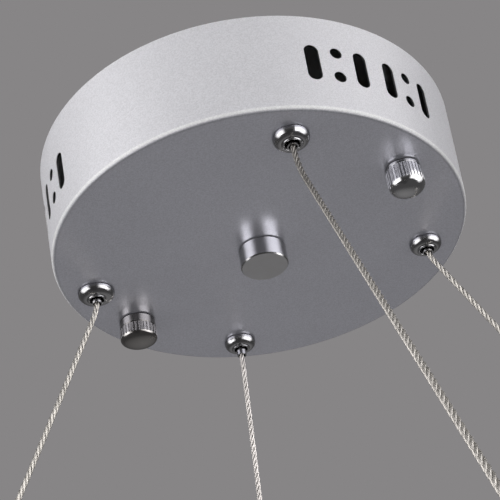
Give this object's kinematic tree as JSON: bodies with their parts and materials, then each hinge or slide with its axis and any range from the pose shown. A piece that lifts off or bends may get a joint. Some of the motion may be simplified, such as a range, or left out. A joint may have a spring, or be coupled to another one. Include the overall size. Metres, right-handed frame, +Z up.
{
  "type": "pendant light canopy",
  "caption": "Round silver ceiling canopy of a suspended light, with vented wall, knurled cap nuts, a centre cap and taut wire ropes in grips that a pressed plunger frees.",
  "frame": {"origin": "centre of the mounting plate's ceiling face", "axes": "+Z up to the ceiling, +X along the line through the two knurled nuts"},
  "size_m": [0.2639, 0.2167, 0.2731],
  "materials": {
    "silver_paint": "satin silver paint with a fine metallic grain",
    "bright_chrome": "polished",
    "zinc_plate": "zinc plated, satin",
    "steel_parts": "bright steel",
    "brass_part": "machined",
    "wire_rope": "stranded steel, bright",
    "black_rubber": "matte",
    "white_nylon": "moulded",
    "white_plastic": "moulded, fine texture",
    "green_board": "circuit board",
    "yellow_tape": "wound and taped",
    "blue_sleeve": "smooth",
    "green_plastic": "moulded",
    "brown_sleeve": "smooth",
    "green_sleeve": "green and yellow insulation",
    "red_sleeve": "smooth"
  },
  "bodies": {
    "root": {"canopy_pan": "silver_paint", "mounting_plate": "zinc_plate", "stud_screws": "zinc_plate", "stud_washers": "zinc_plate", "stud_lock_nuts": "zinc_plate", "cap_nipple": "brass_part", "nipple_washer": "zinc_plate", "nipple_lock_nut": "zinc_plate", "grip_gaskets": "black_rubber", "grip_collars": "bright_chrome", "grip_bodies": "brass_part", "grip_end_plugs": "brass_part", "grip_bushes": "white_nylon", "grip_washers": "zinc_plate", "grip_ring_tags": "zinc_plate", "grip_lock_nuts": "zinc_plate", "spring_near": "steel_parts", "spring_right": "steel_parts", "spring_far": "steel_parts", "spring_left": "steel_parts", "rope_tails": "wire_rope", "rope_near": "wire_rope", "rope_right": "wire_rope", "rope_far": "wire_rope", "rope_left": "wire_rope", "rope_ferrules": "zinc_plate", "rope_eyes": "wire_rope", "driver_case": "white_plastic", "driver_lid": "white_plastic", "driver_lid_screws": "zinc_plate", "driver_pad": "black_rubber", "driver_board": "green_board", "driver_transformer": "yellow_tape", "driver_capacitors": "blue_sleeve", "driver_terminals": "green_plastic", "terminal_block": "white_plastic", "terminal_inserts": "brass_part", "terminal_screws": "zinc_plate", "terminal_pad": "black_rubber", "earth_screw": "zinc_plate", "earth_nut": "zinc_plate", "earth_tag": "zinc_plate", "lead_live": "brown_sleeve", "lead_neutral": "blue_sleeve", "lead_earth": "green_sleeve", "output_leads": "red_sleeve"},
    "plunger_near_body": {"plunger_near": "bright_chrome", "balls_near": "steel_parts"},
    "plunger_right_body": {"plunger_right": "bright_chrome", "balls_right": "steel_parts"},
    "plunger_far_body": {"plunger_far": "bright_chrome", "balls_far": "steel_parts"},
    "plunger_left_body": {"plunger_left": "bright_chrome", "balls_left": "steel_parts"},
    "knob_washer_right_body": {"knob_washer_right": "black_rubber"},
    "knurled_nut_right_body": {"knurled_nut_right": "bright_chrome"},
    "knob_washer_left_body": {"knob_washer_left": "black_rubber"},
    "knurled_nut_left_body": {"knurled_nut_left": "bright_chrome"},
    "cap_washer_body": {"cap_washer": "black_rubber"},
    "centre_cap_body": {"centre_cap": "bright_chrome"}
  },
  "joints": [
    {"name": "press_near", "type": "slide", "parent": "root", "child": "plunger_near_body", "axis": [0, 0, 1], "range_m": [0, 0.002], "stiffness_N_per_m": 1500, "deforming": ["spring_near"]},
    {"name": "press_right", "type": "slide", "parent": "root", "child": "plunger_right_body", "axis": [0, 0, 1], "range_m": [0, 0.002], "stiffness_N_per_m": 1500, "deforming": ["spring_right"]},
    {"name": "press_far", "type": "slide", "parent": "root", "child": "plunger_far_body", "axis": [0, 0, 1], "range_m": [0, 0.002], "stiffness_N_per_m": 1500, "deforming": ["spring_far"]},
    {"name": "press_left", "type": "slide", "parent": "root", "child": "plunger_left_body", "axis": [0, 0, 1], "range_m": [0, 0.002], "stiffness_N_per_m": 1500, "deforming": ["spring_left"]},
    {"name": "nut_drop_right", "type": "slide", "parent": "root", "child": "knob_washer_right_body", "axis": [0, 0, -1], "range_m": [0, 0.007]},
    {"name": "nut_turn_right", "type": "hinge", "parent": "knob_washer_right_body", "child": "knurled_nut_right_body", "pos_m": [0.0732, 0, -0.053], "axis": [0, 0, -1], "range_deg": [0, 3600]},
    {"name": "nut_drop_left", "type": "slide", "parent": "root", "child": "knob_washer_left_body", "axis": [0, 0, -1], "range_m": [0, 0.007]},
    {"name": "nut_turn_left", "type": "hinge", "parent": "knob_washer_left_body", "child": "knurled_nut_left_body", "pos_m": [-0.0732, 0, -0.053], "axis": [0, 0, -1], "range_deg": [0, 3600]},
    {"name": "cap_drop", "type": "slide", "parent": "root", "child": "cap_washer_body", "axis": [0, 0, -1], "range_m": [0, 0.005]},
    {"name": "cap_turn", "type": "hinge", "parent": "cap_washer_body", "child": "centre_cap_body", "pos_m": [0, 0, -0.052], "axis": [0, 0, -1], "range_deg": [0, 1800]}
  ],
  "couplings": [
    {"joint": "nut_turn_right", "follows": "nut_drop_right", "rad_per_m": 8976},
    {"joint": "nut_turn_left", "follows": "nut_drop_left", "rad_per_m": 8976},
    {"joint": "cap_turn", "follows": "cap_drop", "rad_per_m": 6283.2}
  ]
}
